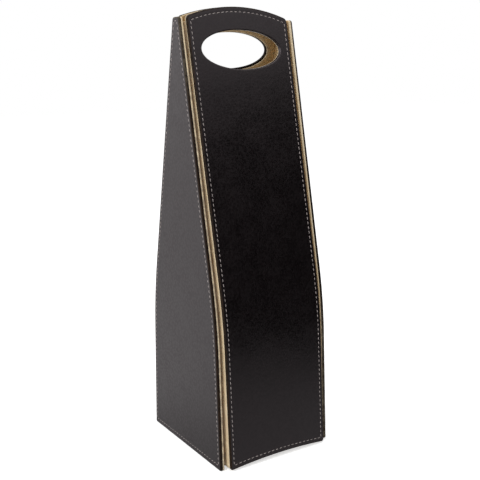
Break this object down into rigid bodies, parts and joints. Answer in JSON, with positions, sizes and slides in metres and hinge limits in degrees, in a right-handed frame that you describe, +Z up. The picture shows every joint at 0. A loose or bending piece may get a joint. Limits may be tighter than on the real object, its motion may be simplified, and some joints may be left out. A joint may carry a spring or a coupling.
{
  "type": "bottle carrier",
  "caption": "Tall tapered single-bottle carrier of stitched dark leather panels with pale suede lining, an oval hand hole through its arched top and a front door that swings down from its foot.",
  "frame": {"origin": "middle of the footprint, on the floor under the base", "axes": "+Z up, the front door faces -Y and X runs across the carrier between its side panels"},
  "size_m": [0.1158, 0.1336, 0.3912],
  "materials": {
    "leather": "fine grain, satin",
    "suede": "napped suede",
    "board": "raw fibreboard",
    "lined_wood": "covered with suede",
    "magnet": "nickel plated"
  },
  "bodies": {
    "carrier": {"back_leather": "leather", "left_leather": "leather", "right_leather": "leather", "base_leather": "leather", "back_lining": "suede", "left_lining": "suede", "right_lining": "suede", "base_lining": "suede", "hinge_strip": "suede", "back_board": "board", "left_board": "board", "right_board": "board", "base_board": "board", "back_left_batten": "lined_wood", "back_right_batten": "lined_wood", "back_magnets": "magnet"},
    "front_door": {"door_leather": "leather", "door_lining": "suede", "door_hinge_leaf": "suede", "door_board": "board", "door_left_rail": "lined_wood", "door_right_rail": "lined_wood", "door_magnets": "magnet"}
  },
  "joints": [
    {"name": "front_door_hinge", "type": "hinge", "parent": "carrier", "child": "front_door", "pos_m": [0, -0.06232, 0.0067], "axis": [1, 0, 0], "range_deg": [0, 90]}
  ]
}
